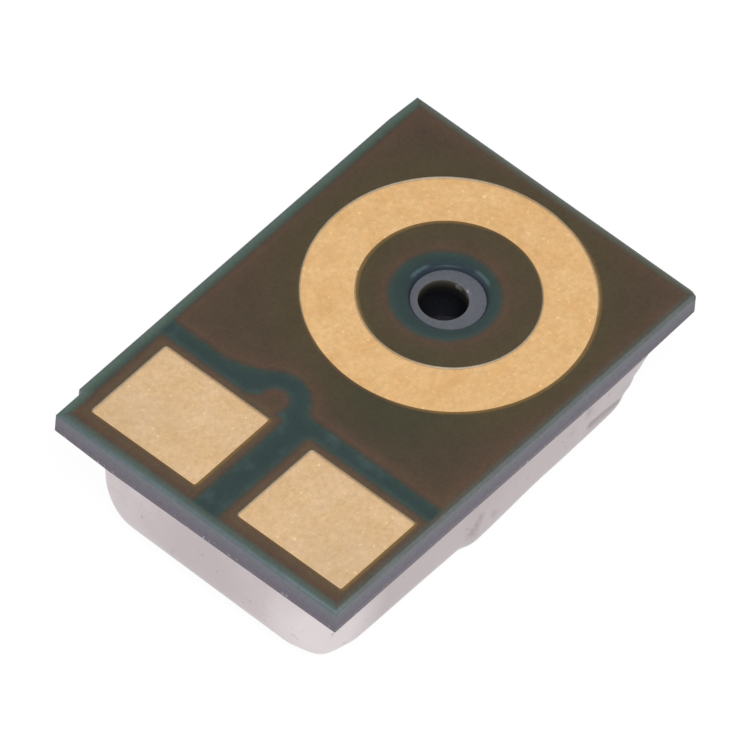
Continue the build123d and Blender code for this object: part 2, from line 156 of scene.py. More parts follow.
def start(add, name, **settings):
    """Adds a primitive with nothing else selected, its place in its mesh, and opens it in edit mode."""
    bpy.ops.object.select_all(action="DESELECT")
    scale = settings.pop("scale", (1, 1, 1))
    add(**settings)
    piece = bpy.context.object
    piece.name = name
    piece.scale = scale
    apply_place(piece)
    bpy.ops.object.mode_set(mode="EDIT")
    bpy.ops.mesh.select_mode(type="VERT")
    bpy.ops.mesh.select_all(action="SELECT")
    return piece


def close_edit():
    """Turns all normals outwards and leaves edit mode."""
    bpy.ops.mesh.select_all(action="SELECT")
    bpy.ops.mesh.normals_make_consistent(inside=False)
    bpy.ops.object.mode_set(mode="OBJECT")


def lift(height):
    """Extrudes what is selected upwards."""
    bpy.ops.mesh.extrude_region_move(TRANSFORM_OT_translate={"value": (0, 0, height)})


def use_modifier(piece, kind, **settings):
    """Adds a modifier and applies it."""
    choose(piece)
    modifier = piece.modifiers.new(kind.title(), kind)
    for key, value in settings.items():
        setattr(modifier, key, value)
    bpy.ops.object.modifier_apply(modifier=modifier.name)


def cut(piece, tools, operation="DIFFERENCE"):
    """Cuts a piece with other shapes, which are used up."""
    for tool in tools:
        use_modifier(piece, "BOOLEAN", operation=operation, object=tool, solver="EXACT")
        bpy.data.objects.remove(tool)


def settle(piece, slot, smooth_angle, *nodes):
    """Brings a finished piece from millimetres to metres, shades it smooth, hangs it on the root and hides
    the imported nodes it stands in for.
    """
    piece.scale = (MM, MM, MM)
    apply_place(piece)
    bpy.ops.object.shade_smooth_by_angle(angle=radians(smooth_angle))
    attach(piece, "root")
    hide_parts(*nodes)


def tool_from_node(name, reach_down):
    """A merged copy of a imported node, in millimetres and longer below, to cut another piece with."""
    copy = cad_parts[name].copy()
    copy.data = copy.data.copy()
    copy.parent = None
    copy.name = "tool_" + name
    bpy.context.scene.collection.objects.link(copy)
    copy.scale = (1 / MM, 1 / MM, 1 / MM)
    apply_place(copy)
    bpy.ops.object.mode_set(mode="EDIT")
    bpy.ops.mesh.select_all(action="SELECT")
    bpy.ops.mesh.remove_doubles(threshold=0.0002)
    lowest = min(v.co.z for v in bmesh.from_edit_mesh(copy.data).verts)
    select_only("verts", lambda v: v.co.z < lowest + pick_within)
    bpy.ops.transform.translate(value=(0, 0, -reach_down))
    close_edit()
    return copy


def board_plate(name, foot, height):
    """The sawn outline of the board as a plate: a round corner and two small steps."""
    end_x = board_length / 2
    piece = start(
        bpy.ops.mesh.primitive_plane_add, name,
        size=1, location=(0, 0, foot), scale=(board_length, board_width, 1),
    )
    step_x = -end_x + breakout_length
    for x in (step_x, step_x - breakout_ramp, end_x - trim_length):
        bpy.ops.mesh.select_all(action="SELECT")
        bpy.ops.mesh.bisect(plane_co=(x, 0, 0), plane_no=(1, 0, 0))
    select_only("verts", lambda v: v.co.y > 0 and v.co.x < step_x - breakout_ramp / 2)
    bpy.ops.transform.translate(value=(0, -breakout_depth, 0))
    select_only("verts", lambda v: v.co.y > 0 and v.co.x > end_x - pick_within)
    bpy.ops.transform.translate(value=(0, -trim_depth, 0))
    select_only("verts", lambda v: v.co.y < 0 and v.co.x > end_x - pick_within)
    bpy.ops.mesh.bevel(affect="VERTICES", offset=rounded_corner, segments=corner_steps)
    bpy.ops.mesh.select_mode(type="FACE")
    bpy.ops.mesh.select_all(action="SELECT")
    bpy.ops.mesh.dissolve_faces()
    lift(height)
    close_edit()
    return piece


def turned(name, centre, steps, sides, plug=False):
    """A closed form round a centre, from (radius, height) steps: a plug with flat ends, or a band
    whose last step lies beside its first."""
    x, y = centre
    radius, height = steps[0]
    piece = start(
        bpy.ops.mesh.primitive_circle_add, name,
        vertices=sides, radius=radius, location=(x, y, height), fill_type="NGON" if plug else "NOTHING",
    )
    for next_radius, next_height in steps[1:]:
        lift(next_height - height)
        growth = next_radius / radius
        bpy.ops.transform.resize(value=(growth, growth, 1), center_override=(x, y, 0))
        radius, height = next_radius, next_height
    if not plug:
        select_only("edges", lambda e: e.is_boundary)
        bpy.ops.mesh.bridge_edge_loops()
    close_edit()
    return piece


def rounded_block(name, centre, size, corner, steps):
    """A closed block on a rounded rectangle, from (growth, height) steps."""
    x, y = centre
    length, width = size
    growth, height = steps[0]
    piece = start(
        bpy.ops.mesh.primitive_plane_add, name,
        size=1, location=(x, y, height), scale=(length + 2 * growth, width + 2 * growth, 1),
    )
    bpy.ops.mesh.bevel(affect="VERTICES", offset=corner + growth, segments=corner_steps)
    select_only("faces", lambda f: True)
    for next_growth, next_height in steps[1:]:
        lift(next_height - height)
        stretch = (
            (length + 2 * next_growth) / (length + 2 * growth),
            (width + 2 * next_growth) / (width + 2 * growth),
            1,
        )
        bpy.ops.transform.resize(value=stretch, center_override=(x, y, 0))
        growth, height = next_growth, next_height
    close_edit()
    return piece


def band_from_loops(name, loops):
    """A closed band through loops of points, joined end to end, for outlines that keep their distance."""
    count, sides = len(loops), len(loops[0])
    corners = [tuple(point) for loop in loops for point in loop]
    faces = []
    for step in range(count):
        following = (step + 1) % count
        for side in range(sides):
            beside = (side + 1) % sides
            faces.append((
                step * sides + side, step * sides + beside,
                following * sides + beside, following * sides + side,
            ))
    mesh = bpy.data.meshes.new(name)
    mesh.from_pydata(corners, [], faces)
    piece = bpy.data.objects.new(name, mesh)
    bpy.context.scene.collection.objects.link(piece)
    choose(piece)
    bpy.ops.object.mode_set(mode="EDIT")
    close_edit()
    return piece


# Distances in the plane of the board, in millimetres and negative inside a shape

def to_box(x, y, x0, x1, y0, y1, corner):
    """Distance to a rectangle with round corners."""
    dx = np.maximum(x0 + corner - x, x - x1 + corner)
    dy = np.maximum(y0 + corner - y, y - y1 + corner)
    outside = np.hypot(np.maximum(dx, 0), np.maximum(dy, 0))
    return outside + np.minimum(np.maximum(dx, dy), 0) - corner


def to_circle(x, y, centre_x, centre_y, radius):
    return np.hypot(x - centre_x, y - centre_y) - radius


def to_outline(x, y, corners):
    """Distance to a closed outline with straight sides."""
    nearest = np.full(x.shape, 1e9)
    inside = np.zeros(x.shape, bool)
    for (ax, ay), (bx, by) in zip(corners, corners[1:] + corners[:1]):
        ex, ey = bx - ax, by - ay
        along = np.clip(((x - ax) * ex + (y - ay) * ey) / (ex * ex + ey * ey), 0, 1)
        nearest = np.minimum(nearest, np.hypot(x - ax - along * ex, y - ay - along * ey))
        crosses = (ay > y) != (by > y)
        if ay != by:
            inside ^= crosses & (x < ax + (y - ay) / (by - ay) * ex)
    return np.where(inside, -nearest, nearest)


def soft_min(a, b, blend):
    """The lesser of two distances, with the corner between them rounded."""
    share = np.clip(0.5 + 0.5 * (b - a) / blend, 0, 1)
    return b + (a - b) * share - blend * share * (1 - share)


def to_copper(x, y):
    """Distance to the nearest edge of the etched copper under the mask."""
    copper_round, stub_fillet, bay_fillet, overlap = 0.028, 0.02, 0.05, 0.1
    pads = []
    for side in (1, -1):
        low_y, high_y = pad_copper_spans[side]
        pads.append(to_box(x, y, pad_copper_left, pad_copper_right, low_y, high_y, copper_round))
    turn = radians(stub_tangent)
    stub = [
        (pad_copper_right - overlap, stub_y - 0.05),
        (stub_x + stub_radius * cos(turn), stub_y - stub_radius * sin(turn)),
        (stub_x, stub_y),
        (stub_x + stub_radius * cos(turn), stub_y + stub_radius * sin(turn)),
        (pad_copper_right, stub_y + stub_root_rise),
        (pad_copper_right - overlap, stub_y + stub_root_rise),
    ]
    stub_end = to_circle(x, y, stub_x, stub_y, stub_radius)
    signal = soft_min(pads[0], np.minimum(to_outline(x, y, stub), stub_end), stub_fillet)
    gap = stub_radius + stub_clearance
    lean = radians(shoulder_angle)
    shoulder = [
        (ground_left - overlap, stub_y),
        (stub_x + gap * cos(lean), stub_y + gap * sin(lean)),
        (ground_left, stub_y + gap + shoulder_rise),
        (ground_left - overlap, stub_y + gap + shoulder_rise),
    ]
    bay = soft_min(to_circle(x, y, stub_x, stub_y, gap), to_outline(x, y, shoulder), stub_fillet)
    port = to_circle(x, y, clearance_x, clearance_y, port_copper_clearance)
    plate = to_box(x, y, ground_left, ground_right, ground_low_y, ground_high_y, copper_round)
    ground = -soft_min(-np.maximum(plate, -port), bay, bay_fillet)
    return np.minimum(np.minimum(signal, pads[1]), ground)


def to_openings(x, y):
    """Distance to the nearest edge of gold: the ring and the two pads."""
    gold = to_ring(x, y)
    for side in (1, -1):
        middle = pad_middles_y[side]
        gold = np.minimum(gold, to_box(
            x, y, pad_centre_x - pad_length / 2, pad_centre_x + pad_length / 2,
            middle - pad_width / 2, middle + pad_width / 2, pad_corner,
        ))
    return gold


def to_board(x, y):
    """Distance to the board's sawn outline."""
    end_x, edge_y = board_length / 2, board_width / 2
    return to_outline(x, y, [
        (-end_x, -edge_y),
        (end_x, -edge_y),
        (end_x, edge_y - trim_depth),
        (end_x - trim_length, edge_y),
        (-end_x + breakout_length, edge_y),
        (-end_x + breakout_length - breakout_ramp, edge_y - breakout_depth),
        (-end_x, edge_y - breakout_depth),
    ])


def to_port(x, y):
    return to_circle(x, y, mask_port_x, mask_port_y, mask_port_radius)


def to_ring(x, y):
    return np.maximum(
        to_circle(x, y, ring_x, ring_y, ring_outer_radius),
        -to_circle(x, y, ring_x, ring_y, ring_inner_radius),
    )


def outward(distance, x, y, along_x, along_y):
    """How far the way out of a shape runs along an axis, from -1 to 1."""
    step = 0.002
    ahead = distance(x + step * along_x, y + step * along_y)
    behind = distance(x - step * along_x, y - step * along_y)
    return (ahead - behind) / (2 * step)


def smooth_rise(value, low, high):
    """A share that rises from 0 at low to 1 at high, level at both ends."""
    share = np.clip((value - low) / (high - low), 0, 1)
    return share * share * (3 - 2 * share)


def points_of(piece):
    """The points of a piece as rows of x, y and z in millimetres."""
    points = np.zeros(len(piece.data.vertices) * 3)
    piece.data.vertices.foreach_get("co", points)
    return points.reshape(-1, 3)


def mark(piece, name, values):
    """Writes a value for each point of a piece, which its finish reads."""
    attribute = piece.data.attributes.new(name, "FLOAT", "POINT")
    attribute.data.foreach_set("value", np.asarray(values, np.float32))


# Steps of an opening's wall in the mask: how far it has widened at each height, with a soft lip
wall_rise = tan(radians(mask_wall_lean))
opening_steps = [
    (0.000, copper_face),
    (0.007 * wall_rise, copper_face + 0.007),
    (0.0060, copper_face + 0.0102),
    (0.0098, mask_face + 0.0000),
    (0.0150, mask_face + 0.0008),
    (0.0150, mask_face + 0.0200),
]
port_opening_steps = [
    (-0.002, core_face - 0.002),
    (0.000, core_face),
    (0.006, core_face + 0.010),
    (0.011, core_face + 0.0165),
    (0.018, core_face + 0.0205),
    (0.027, core_face + 0.0228),
    (0.027, mask_face + 0.0200),
]

# The mask's worn upper edge: how far down it starts, and each step's inset and rise
worn_height = 0.012
worn_steps = ((0.004, 0.0075), (0.006, 0.0035), (0.014, 0.0035))

# The mask sags beside the copper: depth inside its edge where it lies lowest and where it is level
drape_from, drape_to = -0.030, 0.014


def outer_mask():
    """Solder mask film, draped over the etched copper, open at the pads and round the port."""
    across, along, margin = 148, 220, 0.02
    piece = start(
        bpy.ops.mesh.primitive_grid_add, "outer_solder_mask_film",
        x_subdivisions=along, y_subdivisions=across, size=1,
        location=(0, 0, mask_face), scale=(board_length + margin, board_width + margin, 1),
    )
    select_only("edges", lambda e: e.is_boundary)
    lift(core_face - mask_face)
    bpy.ops.mesh.edge_face_add()
    close_edit()
    points = points_of(piece)
    top = points[:, 2] > core_face + pick_within
    inside = -to_copper(points[:, 0], points[:, 1])
    height = mask_face - mask_sag + mask_sag * smooth_rise(inside, drape_from, drape_to)
    points[top, 2] = height[top]
    piece.data.vertices.foreach_set("co", points.ravel())
    prism = board_plate("tool_outline", core_face, mask_face - mask_sag - worn_height - core_face)
    bpy.ops.object.mode_set(mode="EDIT")
    select_only("faces", lambda f: f.normal.z > 0.9)
    for inset, rise in worn_steps:
        lift(rise)
        stretch = (1 - 2 * inset / board_length, 1 - 2 * inset / board_width, 1)
        bpy.ops.transform.resize(value=stretch, center_override=(0, 0, 0))
    lift(margin)
    close_edit()
    cut(piece, [prism], "INTERSECT")
    below = 0.01
    cut(piece, [
        tool_from_node(name, below)
        for name in ("outer_ground_copper", "signal_pad_copper", "supply_pad_copper")
    ])
    foot = (0.0, copper_face - 0.004)
    steps = [foot] + opening_steps
    ring_steps = [(ring_outer_radius + g, z) for g, z in steps]
    ring_steps += [(ring_inner_radius - g, z) for g, z in reversed(steps)]
    tools = [turned("tool_ring", (ring_x, ring_y), ring_steps, ring_sides)]
    for side in (1, -1):
        tools.append(rounded_block(
            "tool_pad", (pad_centre_x, pad_middles_y[side]),
            (pad_length, pad_width), pad_corner, steps,
        ))
    port_steps = [(mask_port_radius + g, z) for g, z in port_opening_steps]
    tools.append(turned("tool_port", (mask_port_x, mask_port_y), port_steps, port_sides, plug=True))
    cut(piece, tools)
    x, y, _ = points_of(piece).T
    mark(piece, "copper_depth", -to_copper(x, y))
    mark(piece, "ring_gap", to_ring(x, y))
    mark(piece, "port_gap", to_port(x, y))
    mark(piece, "rim_depth", -to_board(x, y))
    mark(piece, "gold_gap", to_openings(x, y))
    for name, distance in (("rim", to_board), ("gold", to_openings)):
        mark(piece, name + "_out_x", outward(distance, x, y, 1, 0))
        mark(piece, name + "_out_y", outward(distance, x, y, 0, 1))
    # Where the port's lip glints, towards two sides, and where it lies in shade
    out_x, out_y = outward(to_port, x, y, 1, 0), outward(to_port, x, y, 0, 1)
    facing = [way_x * out_x + way_y * out_y for way_x, way_y in ((0.978, -0.209), (0.126, 0.992))]
    mark(piece, "port_glint", smooth_rise(np.maximum(*facing), 0.95, 0.99))
    mark(piece, "port_far", smooth_rise(0.758 * out_x + 0.652 * out_y, 0.3, 0.9))
    settle(piece, "solder_mask", 40, "outer_solder_mask")
    return piece


# Steps of the plating: growth and height, its top divided so that its finish can tell its edge
gold_steps = [(0.0, copper_face)] + [(g, plating_face) for g in (0.003, -0.006, -0.014, -0.040)]


def gold_ring():
    """Plated ring pad."""
    steps = [(ring_outer_radius + g, z) for g, z in gold_steps]
    steps += [(ring_inner_radius - g, z) for g, z in reversed(gold_steps)]
    piece = turned("ring_pad_gold", (ring_x, ring_y), steps, ring_sides)
    settle(piece, "gold_finish", 35, "ring_pad_plating")
    return piece


def gold_pad(name, side, node):
    """Plated rectangular pad."""
    piece = rounded_block(
        name, (pad_centre_x, pad_middles_y[side]), (pad_length, pad_width), pad_corner, gold_steps
    )
    settle(piece, "gold_finish", 35, node)
    return piece


def place_on_board(piece):
    """Moves a piece of the lid to where the lid sits: a little off centre and a little turned."""
    piece.location = (lid_shift_x, lid_shift_y, 0)
    piece.rotation_euler = (0, 0, radians(lid_turn))
    apply_place(piece)


# Creases in the lid's long wall at -Y, and a band along its bottom near the flared corner: from and to as
# (x, z), half width and strength, which sets both the dent and its painted shade
creases = [
    ((-0.148, 0.357), (-0.198, 0.236), 0.026, 0.50),
    ((-0.055, 0.300), (-0.024, 0.250), 0.024, 0.35),
    ((0.584, 0.385), (0.575, 0.320), 0.022, 0.30),
    ((0.690, 0.410), (0.690, 0.380), 0.034, 0.45),
    ((0.730, 0.245), (0.950, 0.215), 0.050, 0.70),
]


def crease_and_shade(x, y, z):
    """How deep a point of the lid lies in a crease, from 0 to 1, which sets both the dent and its painted
    shade.
    """
    depth = np.zeros(x.shape)
    for (x0, z0), (x1, z1), reach, strength in creases:
        run_x, run_z = x1 - x0, z1 - z0
        along = np.clip(((x - x0) * run_x + (z - z0) * run_z) / (run_x ** 2 + run_z ** 2), 0, 1)
        away = np.hypot(x - x0 - along * run_x, z - z0 - along * run_z)
        depth = np.maximum(depth, strength * smooth_rise(-away, -reach, 0))
    return depth * smooth_rise(-y, 0.60, 0.70)


def wear_lid(piece):
    """Moves the points of the lid, or of the solder round it, where drawing and handling have bent it."""
    points = points_of(piece)
    x, y, z = points.T.copy()
    below_rim = rim_face - z
    # The corner at +X, -Y flares at the rim and leans in more than the others below it
    corner = smooth_rise(x, 0.85, 1.15) * smooth_rise(-y, 0.40, 0.70)
    outwards = corner * np.interp(below_rim, flare_depths, flare_moves)
    points[:, 0] += flare_way[0] * outwards
    points[:, 1] += flare_way[1] * outwards
    # A lump pushed out of the long wall, steep on one side, and the flatter stretch beside that corner
    long_wall = smooth_rise(-y, 0.55, 0.70)
    lump_height, flat_depth, crease_depth = 0.026, 0.015, 0.012
    lump = smooth_rise(x, -0.245, -0.15) * (1 - smooth_rise(x, -0.15, 0.42))
    flat = smooth_rise(x, 0.45, 0.95)
    points[:, 1] -= lump_height * lump * long_wall * smooth_rise(below_rim, 0.09, 0.30)
    points[:, 1] += flat_depth * flat * long_wall * smooth_rise(below_rim, 0.05, 0.50)
    points[:, 1] += crease_depth * crease_and_shade(x, y, z)
    # Low down, the front corner comes to a point and the one at -X, +Y is blunter: side, middle of
    # the corner, how far along it the change reaches, and how far out it goes
    diagonal = 0.707
    low_down = smooth_rise(below_rim, 0.35, 0.50) * smooth_rise(-x, 0.6, 0.9)
    for side, middle_x, middle_y, reach, push in (
        (-1, -1.222, -0.75, 0.126, 0.0235),
        (1, -1.200, 0.71, 0.800, -0.0141),
    ):
        across = diagonal * np.abs(x - middle_x + side * (y - middle_y))
        at_corner = smooth_rise(-across, -reach, 0) * low_down * smooth_rise(side * y, 0.2, 0.5)
        pushed = diagonal * push * at_corner
        points[:, 0] -= pushed
        points[:, 1] += side * pushed
    # Shallow waves in the sheet, which differ along X and Y
    wave_depth, waves_across, waves_down, apart = 0.004, 3.1, 4.3, 9.0
    for place, (px, py, pz) in enumerate(zip(x, y, z)):
        depth = wave_depth * smooth_rise(rim_face - pz, 0.03, 0.20)
        wx, wy, wz = px * waves_across, py * waves_across, pz * waves_down
        points[place, 0] += depth * noise.noise(Vector((wx, wy, wz)))
        points[place, 1] += depth * noise.noise(Vector((wx, wy, wz + apart)))
    piece.data.vertices.foreach_set("co", points.ravel())
    piece.data.update()


def drawn_lid():
    """Sheet drawn to a shallow box, with rolled edges, an even wall and a few handling dents."""
    piece = start(
        bpy.ops.mesh.primitive_cube_add, "drawn_metal_lid",
        size=1, location=(0, 0, rim_face / 2), scale=(lid_length, lid_width, rim_face),
    )
    select_only("faces", lambda f: f.normal.z < -0.9)
    stretch = (1 - 2 * lid_draft / lid_length, 1 - 2 * lid_draft / lid_width, 1)
    bpy.ops.transform.resize(value=stretch, center_override=(0, 0, 0))
    select_only("edges", lambda e: abs(e.verts[0].co.z - e.verts[1].co.z) > rim_face / 2)
    bpy.ops.mesh.bevel(affect="EDGES", offset=lid_corner, segments=lid_corner_steps)
    select_only("edges", lambda e: max(v.co.z for v in e.verts) < pick_within)
    bpy.ops.mesh.bevel(affect="EDGES", offset=lid_edge, segments=lid_edge_steps)
    select_only("faces", lambda f: f.normal.z > 0.9)
    bpy.ops.mesh.delete(type="FACE")
    # Rows and columns of points for the wear, closest together at the lump's steep side
    rows = np.arange(0.24, rim_face, 0.03)
    columns = (*np.arange(-0.90, -0.33, 0.06), *np.arange(-0.32, 0.0, 0.02), *np.arange(0.0, 0.92, 0.04))
    cuts = [((0, 0, z), (0, 0, 1)) for z in rows] + [((x, 0, 0), (1, 0, 0)) for x in columns]
    for point, normal in cuts:
        bpy.ops.mesh.select_all(action="SELECT")
        bpy.ops.mesh.bisect(plane_co=point, plane_no=normal)
    bpy.ops.mesh.select_all(action="SELECT")
    bpy.ops.mesh.remove_doubles(threshold=0.0005)
    close_edit()
    place_on_board(piece)
    mark(piece, "crease_and_shade", crease_and_shade(*points_of(piece).T))
    wear_lid(piece)
    use_modifier(piece, "SOLIDIFY", thickness=lid_wall, offset=-1, use_even_offset=True)
    settle(piece, "lid_metal", 40, "metal_lid")
    return piece


def rim_loop(growth, height, wave):
    """Points round the lid's rim, grown by a distance, with a little waviness that never repeats."""
    half_x, half_y = lid_length / 2 - lid_corner, lid_width / 2 - lid_corner
    corner = lid_corner + growth
    points = []
    quarter_steps, run_steps, ripples, ripple_level = 12, 40, 6, 3.7
    quarters = ((1, 1, 0), (-1, 1, 1), (-1, -1, 2), (1, -1, 3))
    for sx, sy, quarter in quarters:
        for step in range(quarter_steps + 1):
            turn = (quarter + step / quarter_steps) * pi / 2
            points.append((sx * half_x + corner * cos(turn), sy * half_y + corner * sin(turn)))
        nsx, nsy, _ = quarters[(quarter + 1) % 4]
        turn = (quarter + 1) * pi / 2
        x0, y0 = points[-1]
        x1, y1 = nsx * half_x + corner * cos(turn), nsy * half_y + corner * sin(turn)
        for step in range(1, run_steps):
            share = step / run_steps
            points.append((x0 + (x1 - x0) * share, y0 + (y1 - y0) * share))
    moved = []
    for x, y in points:
        length = (x * x + y * y) ** 0.5
        swell = wave * noise.noise(Vector((x * ripples, y * ripples, ripple_level)))
        moved.append((x * (1 + swell / length), y * (1 + swell / length), height))
    return moved


def solder_seam():
    """Solder between the lid's rim and the board, drawn up in a hollow fillet on both sides."""
    lean = lid_draft / rim_face
    # Growth past the lid's outer face, height and waviness, from the outer foot over the rim to the
    # inner foot
    section = [
        (0.0130, seal_plating_face, 0.002),
        (0.0100, seal_plating_face - 0.0035, 0.004),
        (0.0062, seal_plating_face - 0.010, 0.005),
        (0.0035, seal_plating_face - 0.019, 0.004),
        (0.0015, seal_plating_face - 0.031, 0.002),
        (-0.0022, seal_plating_face - 0.045, 0.0),
        (-lean * 0.020, rim_face - 0.020, 0.0),
        (0.0, rim_face, 0.0),
        (-lid_wall, rim_face, 0.0),
        (-lid_wall - lean * 0.020, rim_face - 0.020, 0.0),
        (-lid_wall - lean * 0.031 - 0.0005, seal_plating_face - 0.045, 0.0),
        (-lid_wall - 0.009, seal_plating_face - 0.025, 0.0),
        (-lid_wall - 0.019, seal_plating_face - 0.010, 0.0),
        (-lid_wall - 0.031, seal_plating_face, 0.0),
    ]
    piece = band_from_loops("lid_solder_fillet", [rim_loop(g, z, w) for g, z, w in section])
    place_on_board(piece)
    wear_lid(piece)
    settle(piece, "solder", 50, "lid_solder_seam")
    return piece


# Finishes

def linear(colour):
    """An sRGB hex colour as Blender's linear values."""
    parts = [int(colour[i:i + 2], 16) / 255 for i in (0, 2, 4)]
    return [v / 12.92 if v <= 0.04045 else ((v + 0.055) / 1.055) ** 2.4 for v in parts] + [1.0]


def add_node(tree, kind, inputs=None, stops=None, **settings):
    """Adds a shader node with its settings, and sets or links its inputs; text is an sRGB hex colour."""
    made = tree.nodes.new("ShaderNode" + kind)
    for key, value in settings.items():
        setattr(made, key, value)
    for key, value in (inputs or {}).items():
        if isinstance(value, bpy.types.NodeSocket):
            tree.links.new(value, made.inputs[key])
        else:
            made.inputs[key].default_value = linear(value) if isinstance(value, str) else value
    if stops:
        ramp = made.color_ramp
        ramp.elements[0].position, ramp.elements[0].color = stops[0][0], linear(stops[0][1])
        ramp.elements[1].position, ramp.elements[1].color = stops[-1][0], linear(stops[-1][1])
        for position, colour in stops[1:-1]:
            ramp.elements.new(position).color = linear(colour)
    return made


def new_finish(name, **shader_values):
    """A material, returned with its tree, its shader and the place on the piece that patterns read."""
    finish = bpy.data.materials.new(name)
    finish.use_nodes = True
    tree = finish.node_tree
    tree.nodes.clear()
    shader = add_node(
        tree, "BsdfPrincipled", {key.replace("_", " "): value for key, value in shader_values.items()}
    )
    add_node(tree, "OutputMaterial", {"Surface": shader.outputs[0]})
    return finish, tree, shader, add_node(tree, "TexCoord").outputs["Object"]


def give_surface(tree, shader, place, colour, size, detail, strength, depth):
    """Gives a shader its colour and a fine relief, with the size and depth of its grain in millimetres."""
    tree.links.new(colour, shader.inputs["Base Color"])
    relief = add_node(
        tree, "TexNoise",
        {"Vector": place, "Scale": 1 / (size * MM), "Detail": detail, "Roughness": 0.6},
    ).outputs[0]
    bump = add_node(tree, "Bump", {"Height": relief, "Strength": strength, "Distance": depth * MM})
    tree.links.new(bump.outputs[0], shader.inputs["Normal"])


def patches(tree, place, size, detail, roughness, low, high, least=0.0, most=1.0):
    """A share that wanders in patches of a size in millimetres, from least where the pattern is at
    its low value to most where it is at its high one."""
    pattern = add_node(
        tree, "TexNoise",
        {"Vector": place, "Scale": 1 / (size * MM), "Detail": detail, "Roughness": roughness},
    ).outputs[0]
    return add_node(
        tree, "MapRange",
        {"Value": pattern, "From Min": low, "From Max": high, "To Min": least, "To Max": most},
    ).outputs[0]


def nearness(tree, place, point, far, near, strength=1.0):
    """A share that grows to a strength on the way from far to near a point, in millimetres."""
    away = add_node(
        tree, "VectorMath", {0: place, 1: [v * MM for v in point]}, operation="DISTANCE"
    ).outputs["Value"]
    return add_node(
        tree, "MapRange", {"Value": away, "From Min": far * MM, "From Max": near * MM, "To Max": strength}
    ).outputs[0]


def advance(tree, place, axis, first, last, strength=1.0):
    """A share that grows to a strength along an axis, 0 for X to 2 for Z, between two millimetre values."""
    reached = add_node(tree, "SeparateXYZ", {0: place}).outputs[axis]
    return add_node(
        tree, "MapRange",
        {"Value": reached, "From Min": first * MM, "From Max": last * MM, "To Max": strength},
    ).outputs[0]


def marked(tree, attribute, nothing_at, all_at, strength=1.0):
    """A share that grows from nothing to a strength between two values that mark() wrote."""
    value = add_node(tree, "Attribute", attribute_name=attribute).outputs["Fac"]
    return add_node(
        tree, "MapRange", {"Value": value, "From Min": nothing_at, "From Max": all_at, "To Max": strength}
    ).outputs[0]


def lay_tones(tree, colour, layers):
    """Lays tones over a colour, each as strongly as the product of its shares; a share in brackets
    is one that marked() makes."""
    for tone, *shares in layers:
        total = None
        for share in shares:
            if isinstance(share, tuple):
                share = marked(tree, *share)
            if total is not None:
                share = add_node(tree, "Math", {0: total, 1: share}, operation="MULTIPLY").outputs[0]
            total = share
        colour = add_node(tree, "Mix", {0: total, 6: colour, 7: tone}, data_type="RGBA").outputs[2]
    return colour


def mottled(tree, colour, strength):
    """A colour made darker and lighter by a strength round 1."""
    grey = add_node(tree, "CombineColor", {0: strength, 1: strength, 2: strength}).outputs[0]
    return add_node(
        tree, "Mix", {0: 1.0, 6: colour, 7: grey}, data_type="RGBA", blend_type="MULTIPLY"
    ).outputs[2]


